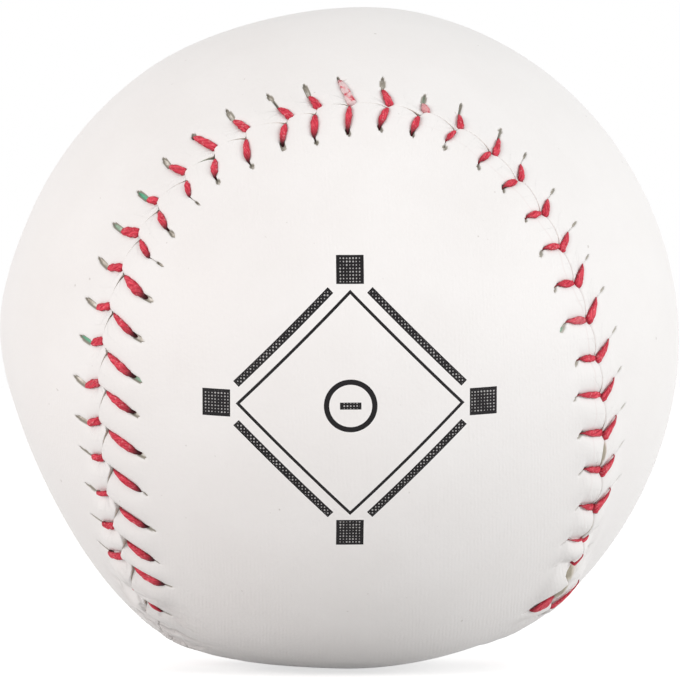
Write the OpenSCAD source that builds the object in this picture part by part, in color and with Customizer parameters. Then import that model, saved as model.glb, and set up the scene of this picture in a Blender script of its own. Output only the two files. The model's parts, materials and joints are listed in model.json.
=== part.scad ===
// Wound softball with a two-panel sewn cover, in millimetres.
// The centre of the ball is the origin, +Z is up and -Y is the side that faces the viewer.
// From the inside out: core, coarse winding, fine winding, cement coat, two cloth backings,
// two cover panels and the two thread runs that lace the panels together.

/* [Ball] */
// Circumference of the ball over the cover
girth = 254; // [225:1:310]
// Turn of the seam about X, Y and Z as the ball lies
seam_turn = [21, -2.4, 2]; // [-180:0.1:180]

/* [Cover] */
// Thickness of a cover panel
cover_t = 1.3; // [0.8:0.1:2.5]
// Half angle of a panel's waist, seen from the centre of the ball
waist_angle = 26; // [20:1:32]

/* [Seam] */
// Number of stitches round the whole seam
stitches = 96; // [72:2:112]
// Place of the first stitch along the seam, as a share of one stitch
first_stitch = 0.37; // [0:0.01:1]
// Diameter of the waxed thread
thread_d = 0.8; // [0.5:0.05:1.1]
// Clear space on each side of the thread, in the seam, in the holes and under the cover
thread_fit = 0.12; // [0.08:0.01:0.2]
// Distance from the seam line to the near end of a stitch hole
hole_inset = 2.8; // [2:0.1:3.5]
// Length of a stitch hole across the seam
hole_l = 2.3; // [1.6:0.1:3.2]
// Distance that a stitch's holes trail behind its tip, along the seam
stitch_trail = 1.3; // [0.2:0.1:1.8]
// Most that the lacing draws a panel's holes forwards or back along the seam
stitch_slip = 1.2; // [0.2:0.1:1.8]
// Width of the bare margin between the holes and the backing
backing_margin = 1; // [0.5:0.1:3]

/* [Inside] */
// Thickness of the latex cement coat
coat_t = 0.5; // [0.3:0.1:1]
// Thickness of the fine outer winding
fine_wind_t = 5; // [3:0.5:8]
// Diameter of the cork and rubber core
core_d = 36; // [20:1:44]
// Gap left between neighbouring layers
layer_fit = 0.05; // [0.03:0.01:0.1]

/* [Hidden] */
$fn = 96;

// Channel that clears the thread: the seam gap, a hole's width and the backing's thickness
channel_w = thread_d + 2 * thread_fit;

// Layer radii, from the outside in
ball_r = girth / (2 * PI);
cover_in_r = ball_r - cover_t;
backing_in_r = cover_in_r - channel_w;
coat_r = backing_in_r - layer_fit;
fine_r = coat_r - coat_t - layer_fit;
coarse_r = fine_r - fine_wind_t - layer_fit;
core_r = core_d / 2;

// Levels of the thread's middle line over and under the cover
over_r = ball_r + thread_fit + thread_d / 2;
under_r = cover_in_r - thread_fit - thread_d / 2;

// Where the thread goes down in a hole, and where the backing stops, from the seam line
hole_thread = hole_inset + channel_w / 2;
backing_edge = hole_inset + hole_l + backing_margin;

// Cone that cuts a panel out of a shell: its length, the half angle of the spine along the middle of
// its cap, and the number of its sides
cone_r = 2 * ball_r;
spine_reach = 105;
rim_steps = 2 * stitches;

// A stitch hole is cut from one cover thickness under the cover to one above it
hole_cut_r = cover_in_r - cover_t;
hole_cut_l = 3 * cover_t;

// Sides of the thread, and the share of its last run under the cover that each of its two ends takes up
thread_sides = 6;
tail_share = 0.4;

// Seam line of unit radius at angle s: long_a and short_b are the two turning arms of the curve
long_a = (1 + sin(waist_angle)) / 2;
short_b = (1 - sin(waist_angle)) / 2;
rise = 2 * sqrt(long_a * short_b);

function unit(v) = v / norm(v);
function seam(s) = [
    long_a * sin(s) + short_b * sin(3 * s),
    short_b * cos(3 * s) - long_a * cos(s),
    rise * cos(2 * s)];
function seam_rate(s) = [
    long_a * cos(s) + 3 * short_b * cos(3 * s),
    long_a * sin(s) - 3 * short_b * sin(3 * s),
    -2 * rise * sin(2 * s)];
function along_dir(s) = unit(seam_rate(s));
// Across the seam, from the back panel into the front one
function across_dir(s) = cross(along_dir(s), seam(s));

// Direction from the centre to the point that lies a distance d across the seam at angle s
function arc(d) = d / ball_r * 180 / PI;
function outward(s, d) = cos(arc(d)) * seam(s) + sin(arc(d)) * across_dir(s);
function sideways(s, d) = cos(arc(d)) * across_dir(s) - sin(arc(d)) * seam(s);
// Angle s moved a length l along the seam
function moved(s, l) = s + l / (ball_r * norm(seam_rate(s))) * 180 / PI;

// Places of stitch k: side is 1 on the front panel and -1 on the back one
function stitch_s(k) = 360 * (k + first_stitch) / stitches;
function tip_s(k, side) = moved(stitch_s(k), -side * (thread_d + thread_fit) / 2);
function hole_s(k, side) =
    moved(tip_s(k, side), side * stitch_slip * sin(2 * stitch_s(k)) - stitch_trail);

// Solid ball of radius r_out with a round hollow of radius r_in
module shell(r_out, r_in) {
    difference() {
        sphere(r_out);
        sphere(r_in);
    }
}

// Cone from the centre through the front panel's edge, drawn in by the length inset
module front_cone(inset) {
    half = rim_steps / 2;
    rim = [for (i = [0:rim_steps - 1]) cone_r * outward(360 * i / rim_steps, inset)];
    spine = [for (i = [0:half])
        let (a = spine_reach * cos(360 * i / rim_steps)) cone_r * [0, -sin(a), -cos(a)]];
    function next(i) = (i + 1) % rim_steps;
    function spine_id(i) = rim_steps + (i <= half ? i : rim_steps - i);
    apex_id = rim_steps + half + 1;
    sides = [for (i = [0:rim_steps - 1]) [next(i), i, apex_id]];
    cap_rim = [for (i = [0:rim_steps - 1]) [i, next(i), spine_id(next(i))]];
    cap_spine = [for (i = [0:rim_steps - 1]) [i, spine_id(next(i)), spine_id(i)]];
    polyhedron(concat(rim, spine, [[0, 0, 0]]), concat(sides, cap_rim, cap_spine));
}

// A panel's share of a shell; both panels have one shape, so the back one is the front one turned over
module panel(side, r_out, r_in, inset) {
    rotate(side > 0 ? 0 : 180, [1, 1, 0])
        intersection() {
            shell(r_out, r_in);
            front_cone(inset);
        }
}

module slot(l, w) {
    square([l - w, w], center = true);
    for (end = [-1, 1])
        translate([end * (l - w) / 2, 0]) circle(d = w);
}

// Stitch holes of one panel, each cut straight towards the centre
module stitch_holes(side) {
    d = side * (hole_inset + hole_l / 2);
    for (k = [0:stitches - 1]) {
        s = hole_s(k, side);
        x = sideways(s, d);
        y = along_dir(s);
        z = outward(s, d);
        multmatrix([for (i = [0:2]) [x[i], y[i], z[i], 0]])
            translate([0, 0, hole_cut_r])
                linear_extrude(hole_cut_l) slot(hole_l, channel_w);
    }
}

// One thread run: out of a hole, over the panel to the seam, down it and under the other panel
function run_side(run, k) = (k + run + 2) % 2 == 0 ? 1 : -1;
function run_step(run, k) =
    let (side = run_side(run, k), hole = hole_s(k, side), tip = tip_s(k, side))
    [for (p = [[hole, side * hole_thread, under_r], [hole, side * hole_thread, over_r],
               [tip, 0, over_r], [tip, 0, under_r]])
        [p[2] * outward(p[0], p[1]), along_dir(p[0])]];
function between(p, q, share) = (1 - share) * p + share * q;

function run_path(run) =
    let (steps = [for (k = [0:stitches - 1]) each run_step(run, k)],
         last = steps[len(steps) - 1],
         before = run_step(run, -1)[3],
         after = run_step(run, stitches)[0])
    concat([between(steps[0], before, tail_share)], steps, [between(last, after, tail_share)]);

// Ring of points round each point of a path, square to the bisector of the bend there
function ring(path, i) =
    let (n = len(path),
         here = path[i][0],
         to = i < n - 1 ? unit(path[i + 1][0] - here) : [0, 0, 0],
         from = i > 0 ? unit(here - path[i - 1][0]) : [0, 0, 0],
         ahead = unit(to + from),
         u = unit(path[i][1] - (path[i][1] * ahead) * ahead),
         v = cross(ahead, u))
    [for (j = [0:thread_sides - 1])
        let (a = 360 * j / thread_sides) here + thread_d / 2 * (cos(a) * u + sin(a) * v)];

module thread_run(run) {
    path = run_path(run);
    n = thread_sides;
    rings = len(path);
    points = [for (i = [0:rings - 1]) each ring(path, i)];
    walls = [for (i = [0:rings - 2], j = [0:n - 1])
        let (a = i * n + j, b = i * n + (j + 1) % n)
        each [[a, a + n, b], [b, a + n, b + n]]];
    first_end = [for (j = [1:n - 2]) [0, j, j + 1]];
    last_id = (rings - 1) * n;
    last_end = [for (j = [1:n - 2]) [last_id, last_id + j + 1, last_id + j]];
    polyhedron(points, concat(walls, first_end, last_end));
}

module core() {
    color("saddlebrown") sphere(core_r);
}

module coarse_winding() {
    color("tan") shell(coarse_r, core_r + layer_fit);
}

module fine_winding() {
    color("gainsboro") shell(fine_r, coarse_r + layer_fit);
}

module cement_coat() {
    color("khaki") shell(coat_r, fine_r + layer_fit);
}

module backing(side) {
    color("darkseagreen") rotate(seam_turn)
        panel(side, cover_in_r - layer_fit, backing_in_r, backing_edge);
}

module cover(side) {
    color("whitesmoke") rotate(seam_turn)
        difference() {
            panel(side, ball_r, cover_in_r, channel_w / 2);
            stitch_holes(side);
        }
}

module front_backing() {
    backing(1);
}

module back_backing() {
    backing(-1);
}

module front_cover() {
    cover(1);
}

module back_cover() {
    cover(-1);
}

module first_thread() {
    color("crimson") rotate(seam_turn) thread_run(0);
}

module second_thread() {
    color("crimson") rotate(seam_turn) thread_run(1);
}

core();
coarse_winding();
fine_winding();
cement_coat();
front_backing();
back_backing();
front_cover();
back_cover();
first_thread();
second_thread();
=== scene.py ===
"""Softball in its finish: sewn cover panels, linings, lacing, the wound inside and a plain stage.

Shapes are worked out in millimetres and put into meshes in metres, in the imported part's own frame:
the ball's centre is the origin, +Z is up and the camera looks along +Y.
"""
import json
from functools import partialmethod

import bpy
import numpy as np
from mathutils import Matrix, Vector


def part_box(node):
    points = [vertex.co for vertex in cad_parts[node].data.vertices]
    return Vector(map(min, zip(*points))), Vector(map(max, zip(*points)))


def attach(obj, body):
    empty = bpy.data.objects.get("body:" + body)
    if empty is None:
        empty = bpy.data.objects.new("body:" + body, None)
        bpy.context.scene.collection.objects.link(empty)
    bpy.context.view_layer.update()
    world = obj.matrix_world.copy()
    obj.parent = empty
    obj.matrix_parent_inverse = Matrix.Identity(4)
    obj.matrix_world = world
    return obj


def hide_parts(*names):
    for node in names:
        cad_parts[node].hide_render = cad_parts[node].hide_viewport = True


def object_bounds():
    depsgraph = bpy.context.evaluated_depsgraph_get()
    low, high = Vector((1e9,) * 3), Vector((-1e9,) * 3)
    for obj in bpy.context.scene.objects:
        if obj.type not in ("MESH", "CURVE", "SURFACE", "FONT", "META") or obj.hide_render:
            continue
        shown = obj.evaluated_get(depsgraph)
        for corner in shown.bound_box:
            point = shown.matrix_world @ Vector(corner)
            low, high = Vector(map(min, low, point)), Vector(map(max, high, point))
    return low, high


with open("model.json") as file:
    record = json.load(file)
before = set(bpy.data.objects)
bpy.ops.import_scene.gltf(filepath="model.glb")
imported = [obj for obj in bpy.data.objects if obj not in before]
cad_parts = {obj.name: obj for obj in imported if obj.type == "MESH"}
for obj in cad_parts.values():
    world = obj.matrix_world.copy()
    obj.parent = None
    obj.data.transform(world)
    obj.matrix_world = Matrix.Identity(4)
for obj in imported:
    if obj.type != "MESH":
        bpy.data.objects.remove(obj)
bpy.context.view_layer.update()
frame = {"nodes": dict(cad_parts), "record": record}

MM = 0.001
FULL = 2 * np.pi

# Radii of the ball and of the cement coat that the cover lies on
BALL_R = frame["record"]["mounts"][0]["dims"]["r_mm"]
COAT_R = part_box("cement_coat")[1].z / MM
COVER_T = 1.3
COVER_SHARE = COVER_T / (BALL_R - COAT_R)

# Seam line: half angle of a panel's waist, turn of the seam as the ball lies, its stitches and the place of
# the first, the curve's long and short arm and its rise, the reach of a panel's spine, the pitch of the
# stitches in mm, and the signs of the two panels
WAIST = np.radians(26)
SEAM_TURN = np.radians([21, -2.4, 2])
STITCHES = 96
FIRST_STITCH = 0.37
ARM = (1 + np.sin(WAIST)) / 2
CRANK = (1 - np.sin(WAIST)) / 2
RISE = 2 * np.sqrt(ARM * CRANK)
SPINE_REACH = np.radians(105)
PITCH = 4.35
FRONT = 1
BACK = -1

# Form of the ball as it lies: angle clockwise from +X as the camera sees it, tilt towards +Y,
# depth in mm (less than nothing is a bulge) and half width in degrees
FORM = (
    (92, -0.04, 1.95, 33),
    (68, 0.00, 1.20, 23),
    (117, 0.00, 1.45, 12),
    (153, 0.00, 1.80, 36),
    (28, 0.00, 0.40, 40),
    (184, 0.00, -0.45, 20),
    (221, 0.00, 0.40, 75),
    (298, 0.00, -0.35, 56),
    (259, 0.15, 1.10, 28),
)

# How the stitches lie on each panel, in mm: a mean, its swing from flank to flank, its change from the
# top to the flanks and a seeded change of each stitch's own. The leg and the slit past it run away from
# the seam, lean and hook are their moves along it, and slip moves the whole stitch. A slit is slit_w
# wide, and shut by a share from nothing to one
STITCH_LIE = {
    FRONT: {"leg": (3.1, -0.6, -0.3, 0.22), "slit": (1.05, -0.2, 0, 0.2), "lean": (-1.1, 0.65, 0.25, 0.14),
            "hook": (0.15, 0.6, 0, 0.14), "slip": (0.05, -0.12, 0, 0.08), "shut": (0.4, 0.1, 0, 0.4),
            "slit_w": (0.54, 0, 0, 0.06)},
    BACK: {"leg": (2.2, -0.2, -0.1, 0.2), "slit": (2.2, -0.3, 0, 0.25), "lean": (-0.75, -0.55, 0.45, 0.14),
           "hook": (-0.05, -0.6, 0, 0.14), "slip": (0.15, -0.5, 0, 0.08), "shut": (-0.1, 1.6, 0, 0.2),
           "slit_w": (0.48, -0.08, 0, 0.05)},
}

# Seed of those changes, the most of one in standard deviations, and the least length of a slit
STITCH_SEED, OWN_MOST, LEAST_SLIT = 40, 1.5, 0.6

# Waves round the seam in which the front legs lengthen and shorten, and their height
WAVES, LEG_WAVE = 9, 0.6

# Shares of the far half's stitches that are tinted green or worn, and the least that they then are
FAR_TINTS = {"green": 0.2, "worn": 0.06}
TINT_LEAST = 0.5

# Where the lacing starts to tighten and by how much, as sines of the seam angle, and how it sets in
TIGHT_FROM, TIGHT_OVER, TIGHT_POWER = 0.55, 0.38, 1.5

# Stitches unlike their neighbours: what is added to their lie, by panel and by number clockwise from the
# top of the front. Draw moves a tip of the sewn line towards the front panel. Thin narrows the thread by a
# share, worn fades it and sunk lowers it. Gap opens a notch behind a front tip, open parts the seam before
# it and lenses adds to the openings there. Green tints a slit, or where less than nothing the edge, and
# fold is the height of folds in the leather
ODD_BACK = {
    -17: dict(sunk=0.55, thin=0.5, leg=-0.6, fold=0.25),
    -16: dict(lean=-0.3, leg=0.4, slip=1.3, sunk=-0.05),
    -15: dict(leg=0.3, slip=0.9, thin=0.05),
    -14: dict(lean=0.15, thin=0.35, leg=-0.2, slip=0.45),
    -13: dict(lean=0.3, thin=0.1, slip=0.2),
    -12: dict(leg=0.1, lean=0.1),
    -11: dict(lean=-0.35, slip=-0.3),
    -10: dict(leg=-0.3, lean=0.15, green=0.9, draw=0.3),
    -9: dict(leg=-0.4, lean=-0.2, slip=-0.5, draw=0.4),
    -8: dict(leg=-0.5, lean=-0.15, slip=-0.4, draw=0.5),
    -7: dict(leg=0.2, slip=-0.5, green=0.5, thin=-0.25, draw=0.4),
    -6: dict(leg=-0.5, slip=-0.7, green=1.0),
    -5: dict(leg=0.4, lean=-0.2, slip=-0.3),
    -4: dict(leg=1.8, lean=-0.8, slit=-1.3, slip=-0.3),
    -3: dict(leg=0.6, lean=-0.6, slip=-0.4),
    -2: dict(leg=-0.4, lean=-0.5, slip=0.7, draw=0.9, slit=1.2, shut=1.0, hook=-0.9),
    -1: dict(leg=0.1, lean=-0.5, draw=0.45, slit=0.5, hook=-0.4, slit_w=0.1),
    0: dict(worn=1.0, leg=2.2, lean=-1.1, slit=-1.6, thin=-0.15, slip=-0.6, draw=0.5),
    1: dict(leg=0.4, lean=-0.6, slip=-0.5, draw=0.3),
    2: dict(worn=0.5, green=0.3, shut=-1.0, leg=-0.6, slip=-0.7),
    3: dict(slip=-0.6, leg=0.4, thin=0.15),
    4: dict(leg=0.9, thin=0.15, slip=-0.2, draw=0.3),
    5: dict(slip=-0.5, thin=0.15),
    6: dict(draw=0.15),
    7: dict(draw=0.3),
    8: dict(thin=-0.1, leg=0.4, lean=-0.2),
    9: dict(thin=-0.15, leg=0.45, lean=-0.25),
    10: dict(leg=0.65, lean=-0.2, hook=-0.3),
    11: dict(leg=0.5, thin=0.1, slit=0.2, hook=-0.4),
    12: dict(leg=0.65, lean=-0.1, slit=0.3, hook=-0.6),
    13: dict(thin=-0.1, leg=0.7, lean=0.2, slit=0.4, hook=-0.7),
    14: dict(thin=-0.1, leg=0.5, slit=0.3, hook=-0.7, fold=0.08),
    15: dict(leg=-0.6, lean=1.2, thin=0.45, sunk=0.3, fold=0.15),
    16: dict(leg=-1.0, slip=-1.5, lean=0.5, thin=0.7, fold=0.15),
    17: dict(leg=2.4, slip=1.6, thin=0.4, fold=0.1),
}
ODD_FRONT = {
    -17: dict(leg=-0.8, thin=0.5, fold=0.2),
    -16: dict(slip=1.0, leg=0.9, lean=-0.3, thin=-0.7),
    -15: dict(thin=-0.3),
    -12: dict(thin=-0.2, gap=0.4, shut=-1.0),
    -11: dict(thin=-0.15),
    -10: dict(green=0.6, thin=-0.2, shut=-1.0, slit=0.2),
    -9: dict(gap=0.5, shut=-1.0, slit=0.6),
    -8: dict(gap=0.9, thin=-0.35, lean=0.3, leg=0.4, shut=-1.0, slit=0.2),
    -7: dict(gap=-0.5, lean=0.3, slit=0.9, shut=1.0, slit_w=-0.25),
    -6: dict(gap=-0.5, lean=0.3, slit=0.3, shut=0.5, slip=-0.4),
    -5: dict(gap=-0.5, thin=0.15, slit=0.9, shut=1.0, slit_w=-0.25),
    -4: dict(gap=1.6, green=-1.0, lean=-0.3, leg=-0.5, shut=0.5),
    -3: dict(leg=0.5),
    -2: dict(lean=-0.5, slip=0.8, draw=0.3),
    -1: dict(leg=0.9, draw=0.2, thin=-0.1),
    0: dict(leg=0.7, lean=0.3, draw=-0.4),
    1: dict(lean=0.3, draw=-0.3),
    2: dict(gap=0.6, slip=-0.6, leg=0.4, lean=0.4),
    3: dict(slip=-0.3, slit=0.6, thin=0.2),
    4: dict(leg=0.4, lean=0.3, slit=0.4, thin=0.1, draw=-0.3),
    6: dict(draw=-0.15),
    7: dict(draw=-0.3),
    8: dict(thin=-0.15),
    9: dict(green=0.7, worn=0.15, slit=0.5, slit_w=0.3, thin=-0.2),
    10: dict(leg=-0.7, thin=-0.1),
    12: dict(open=0.06, thin=-0.1),
    13: dict(open=0.6, thin=-0.1),
    14: dict(thin=0.05),
    15: dict(open=0.1, thin=0.6),
    16: dict(slip=-1.0, sunk=0.8),
    17: dict(leg=0.8, lean=1.6, open=1.0, lenses=1, thin=-1.7),
}
ODD_STITCHES = {FRONT: ODD_FRONT, BACK: ODD_BACK}

# Stretches of the seam, in degrees, where the leather folds over the stitches, and the height of the
# folds. How far a stitch sinks there, and how far the legs rise where the lacing is tight
SUNK_STRETCHES = ((-83, -64, 0.3), (67, 82, 0.06))
SINK = 1.2
LEG_RISE = {FRONT: 0.3, BACK: 0.55}

# The sewn line: how far the tips of the two panels lie apart, how far the line is drawn into the front
# panel, how the pitch wanders, how the line sways from each back tip to the next front tip, less on the
# right flanks, and bulges between them, and how the lenses, the gap and its notches open
TIP_APART = 0.3
DRAW, DRAW_WAVE, DRAW_PHASE = 0.38, 0.6, np.radians(8)
WANDER, WANDER_TURNS, WANDER_PHASE = 0.6, 5, np.radians(20)
SWAY, SWAY_LESS, SWAY_FADE = 0.6, 0.46, 2.0
BULGE, BULGE_MORE = 0.12, 0.2
LENS_SHARP = 1.5
GAP, GAP_MOST = 0.005, 0.5
NOTCH, NOTCH_L, NOTCH_END = 0.09, 1.8, 0.15

# Cover relief at the seam: ridge, puffs between the stitches, folds and crumpled leather, grooves under
# the legs, slits past them and the rounded lip, which is larger and flatter on the right flanks
RIDGE_H, RIDGE_W = 0.3, 4.5
PUFF_H, PUFF_GAIN, PUFF_POWER, PUFF_PAST, PUFF_FADE = 0.12, 0.9, 0.7, 0.3, 1.2
FOLD_W, FOLD_L, FOLD_SWAY, FOLD_SWAY_L, FOLD_CHANGE = 5.0, 3.4, 0.3, 1.7, 0.3
CRUMPLE = 3.5
GROOVE_H, GROOVE_W, GROOVE_FADE = 0.25, 0.5, 0.3
SLIT_H, SLIT_OVERLAP, SLIT_SHUT_W, SLIT_LEAST = 0.5, 0.5, 0.1, 0.02
SLIT_OPENS, SLIT_OPEN_L = 0.5, 0.25
SLIT_BLUNT, SLIT_CLOSE, SLIT_TIGHT = {FRONT: 4, BACK: 2.5}, 2.5, 0.65
LIP_R, LIP_SIDE, LIP_GAIN, LIP_FLAT = 0.045, 0.2, 0.15, 0.5

# What the leather shows there: how far slits pale, the length of painted shade at a hole, the share of
# the lip that stays white, more where tight, how far its cut edge pales, and the mark of a lens's shaded
# floor
SLIT_PALE, HOLE_SHADE_L = 0.8, 0.28
EDGE_BARE, EDGE_TIGHT = 0.2, 0.75
EDGE_PALE, EDGE_HID, EDGE_LOOSE = 0.7, 0.85, 0.5
LENS_FLOOR, LENS_STEEP = 2.0, 6

# How far the sewn leather reaches from the seam, and where the lining ends and lies between coat and cover
REACH = 8.0
LINING_EDGE = 6.1
LINING_LEVELS = (0.92, 0.08)

# Grid counts, how far columns bunch at the stitches and rows at the edge, and the spine's mark of distance
COLUMNS, LINING_COLUMNS = 14, 4
BUNCH, ROW_SPREAD, SPINE_FAR = 0.8, 1.15, 3
LIP_ROWS, TOP_ROWS, INNER_ROWS = 6, 44, 12
UNDER_ROWS, UNDER_INNER_ROWS = 3, 3
LINING_ROWS = 14
THREAD_SIDES = 16

# Camera: distance, and where the ball's middle and outline lie in the square picture
PICTURE = 680
CAMERA_Y = 15.4 * BALL_R
OUTLINE_PX = 339.4
DROP_PX = 5.2
SENSOR = 36.0


def unit(v):
    """Vectors brought to length one."""
    return v / np.linalg.norm(v, axis=-1, keepdims=True)


def turn_matrix(angles):
    """Turn about X, then Y, then Z."""
    (cx, cy, cz), (sx, sy, sz) = np.cos(angles), np.sin(angles)
    about_x = np.array([[1, 0, 0], [0, cx, -sx], [0, sx, cx]])
    about_y = np.array([[cy, 0, sy], [0, 1, 0], [-sy, 0, cy]])
    about_z = np.array([[cz, -sz, 0], [sz, cz, 0], [0, 0, 1]])
    return about_z @ about_y @ about_x


TURN = turn_matrix(SEAM_TURN)


def seam_line(s):
    """Seam at angle s on a ball of radius one: its point, the way along it, the way into the front panel
    and its speed. A long arm turns once and a short one three times, and the line rises and falls twice."""
    point = np.stack([
        ARM * np.sin(s) + CRANK * np.sin(3 * s),
        CRANK * np.cos(3 * s) - ARM * np.cos(s),
        RISE * np.cos(2 * s)], -1)
    rate = np.stack([
        ARM * np.cos(s) + 3 * CRANK * np.cos(3 * s),
        ARM * np.sin(s) - 3 * CRANK * np.sin(3 * s),
        -2 * RISE * np.sin(2 * s)], -1)
    speed = np.linalg.norm(rate, axis=-1)
    along = rate / speed[..., None]
    return point, along, np.cross(along, point), speed


def moved(s, length):
    """Seam angle s after a length along the seam."""
    return s + length / (BALL_R * seam_line(s)[3])


def seam_angle(place):
    """Seam angle at a place counted in stitches."""
    return FULL * (place + FIRST_STITCH) / STITCHES


def tightness(place):
    """Share from nothing to one of how hard the lacing draws the leather: most on the seam's flanks."""
    flank = np.abs(np.sin(seam_angle(place)))
    return np.clip((flank - TIGHT_FROM) / TIGHT_OVER, 0, 1) ** TIGHT_POWER


def right_flank(place):
    """Share from nothing to one of how far a place lies on a flank where the seam runs down clockwise."""
    return np.clip(np.sin(2 * seam_angle(place)), 0, 1)


def drawn(place):
    """Distance by which the lacing draws the sewn line into the front panel, in waves along the seam."""
    return DRAW + DRAW_WAVE * np.cos(WAVES * (seam_angle(place) + DRAW_PHASE))


def stitch_lies(side):
    """Each stitch's own lie on one panel: the mean, its swing round the seam and a small seeded change.
    Front legs also lengthen and shorten in waves, slits narrow where the lacing is tight, some stitches
    on the far half are tinted or worn, and the odd stitches differ."""
    rng = np.random.default_rng(STITCH_SEED + side)
    number = np.arange(STITCHES)
    s = seam_angle(number)
    lies = {}
    for name, (mean, swing, lobe, own) in STITCH_LIE[side].items():
        change = own * rng.standard_normal(STITCHES).clip(-OWN_MOST, OWN_MOST)
        lies[name] = mean + swing * np.sin(2 * s) + lobe * np.cos(4 * s) + change
    if side == FRONT:
        lies["leg"] += LEG_WAVE * np.cos(WAVES * s)
    lies["leg"] += side * drawn(number)
    lies["slit_w"] *= 1 - SLIT_TIGHT * tightness(number)
    turn = np.degrees(np.arctan2(np.sin(s), np.cos(s)))
    far_half = np.abs(turn) > 90
    for name, share in FAR_TINTS.items():
        lies[name] = (rng.random(STITCHES) < share) * rng.uniform(TINT_LEAST, 1, STITCHES) * far_half
    lies["gap"] = rng.random(STITCHES) ** 3 * GAP_MOST
    within = [(turn > low) & (turn < high) for low, high, _ in SUNK_STRETCHES]
    lies["sunk"] = sum(share.astype(float) for share in within)
    lies["fold"] = sum(share * height for share, (_, _, height) in zip(within, SUNK_STRETCHES))
    lies["flat"] = lies["sunk"].copy()
    for name in ("thin", "open", "draw"):
        lies[name] = np.zeros(STITCHES)
    lies["lenses"] = np.ones(STITCHES)
    for odd_number, changes in ODD_STITCHES[side].items():
        for name, change in changes.items():
            lies[name][odd_number] += change
    lies["slit_end"] = lies["leg"] + np.maximum(lies["slit"], LEAST_SLIT)
    lies["gap"] = lies["gap"].clip(0)
    lies["shut"] = lies["shut"].clip(0, 1)
    return lies


LIES = {side: stitch_lies(side) for side in (FRONT, BACK)}


def lie(side, name, place):
    """A stitch's length at any place, carried straight from each stitch to the next."""
    low = np.floor(place).astype(int)
    share = place - low
    values = LIES[side][name]
    return (1 - share) * values[low % STITCHES] + share * values[(low + 1) % STITCHES]


def sewn_place(side, place):
    """Place along the sewn line, in stitches, of a place on one panel: the back panel's tips lie ahead."""
    return place + (lie(side, "slip", place) - side * TIP_APART) / PITCH


def tip_angle(side, place):
    """Seam angle of a place on one panel. The hand-sewn pitch wanders in waves."""
    s = seam_angle(sewn_place(side, place))
    return moved(s, WANDER * np.cos(WANDER_TURNS * (s - WANDER_PHASE)))


TIPS = {side: sewn_place(side, np.arange(STITCHES).astype(float)) for side in (FRONT, BACK)}


def sewn_step(at):
    """Where a place on the sewn line lies between two tips: the number of the tip before it, even for a
    front tip and odd for its back tip, the share of the way on, and whether a front tip comes next."""
    number = np.arange(-2, STITCHES + 2)
    laps = number // STITCHES * STITCHES
    tips = np.stack([TIPS[side][number % STITCHES] + laps for side in (FRONT, BACK)])
    counts = np.arange(2 * number[0], 2 * number[-1] + 2)
    phase = np.interp(np.mod(at, STITCHES), np.sort(tips.ravel()), counts)
    step = np.floor(phase).astype(int)
    return step, phase - step, step % 2 == 1


def lens_width(at):
    """Width by which the seam stands open on a few stretches, in lenses between a back tip and the next
    front tip."""
    step, share, onward = sewn_step(at)
    ahead = (step + 1) // 2 % STITCHES
    wave = np.abs(np.sin(np.pi * LIES[FRONT]["lenses"][ahead] * share))
    return LIES[FRONT]["open"][ahead] * onward * np.clip(LENS_SHARP * (wave - 1) + 1, 0, 1)


def edge_offset(side, place):
    """Distance of a panel's edge from the seam line. The sewn line is drawn into the front panel in waves
    and by each tip's own draw. It sways to either panel at its tips, and bulges back on the way to a front
    tip. A pointed notch opens behind each front tip, and the back edge reaches out under a lens."""
    at = sewn_place(side, place)
    step, share, onward = sewn_step(at)
    sway = (SWAY - SWAY_LESS * right_flank(at)) * np.where(onward, 2 * share - 1, 1 - 2 * share)
    bulge = (BULGE + BULGE_MORE * right_flank(at)) * np.sin(np.pi * share) * onward
    draws = np.stack([LIES[FRONT]["draw"], LIES[BACK]["draw"]], 1).ravel()
    own = (1 - share) * draws[step % len(draws)] + share * draws[(step + 1) % len(draws)]
    front, none = TIPS[FRONT], np.zeros(STITCHES)
    notch_at = np.concatenate([front - NOTCH_L / PITCH, front, front + NOTCH_END / PITCH])
    notch_w = np.concatenate([none, NOTCH * LIES[FRONT]["gap"], none])
    notch = np.interp(at, notch_at, notch_w, period=STITCHES)
    notch = notch * (1 - lie(FRONT, "sunk", place).clip(0, 1))
    return GAP + notch + side * (lens_width(at) + drawn(at) + own + sway - bulge)


def from_seam(side, place, reach):
    """Distance from the seam line of a point that lies a reach in from its panel's edge."""
    return reach + edge_offset(side, place) * np.exp(-np.maximum(reach, 0) / SWAY_FADE)


def way_out(side, place, d):
    """Direction from the centre to a point a distance d from the seam line, before the seam is turned.
    A column of points leans from the panel's edge along each leg and hooks along the slit past it."""
    edge = edge_offset(side, place)
    leg = lie(side, "leg", place)
    end = lie(side, "slit_end", place)
    shift = lie(side, "lean", place) * np.clip((d - edge) / (leg - edge), 0, 1)
    shift = shift + lie(side, "hook", place) * np.clip((d - leg) / (end - leg), 0, 1)
    point, _, across, _ = seam_line(moved(tip_angle(side, place), shift))
    a = (side * d / BALL_R)[..., None]
    return np.cos(a) * point + np.sin(a) * across


def ball_form(out):
    """Radius of the ball as it lies: round, less a raised-cosine hollow about each pressed spot."""
    r = np.full(out.shape[:-1], BALL_R)
    for angle, tilt, depth, half in FORM:
        a = np.radians(angle)
        centre = unit(np.array([np.cos(a), tilt, -np.sin(a)]))
        off = np.arccos(np.clip(out @ centre, -1, 1)) / np.radians(half)
        r = r - depth * (1 + np.cos(np.pi * np.minimum(off, 1))) / 2
    return r


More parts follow.
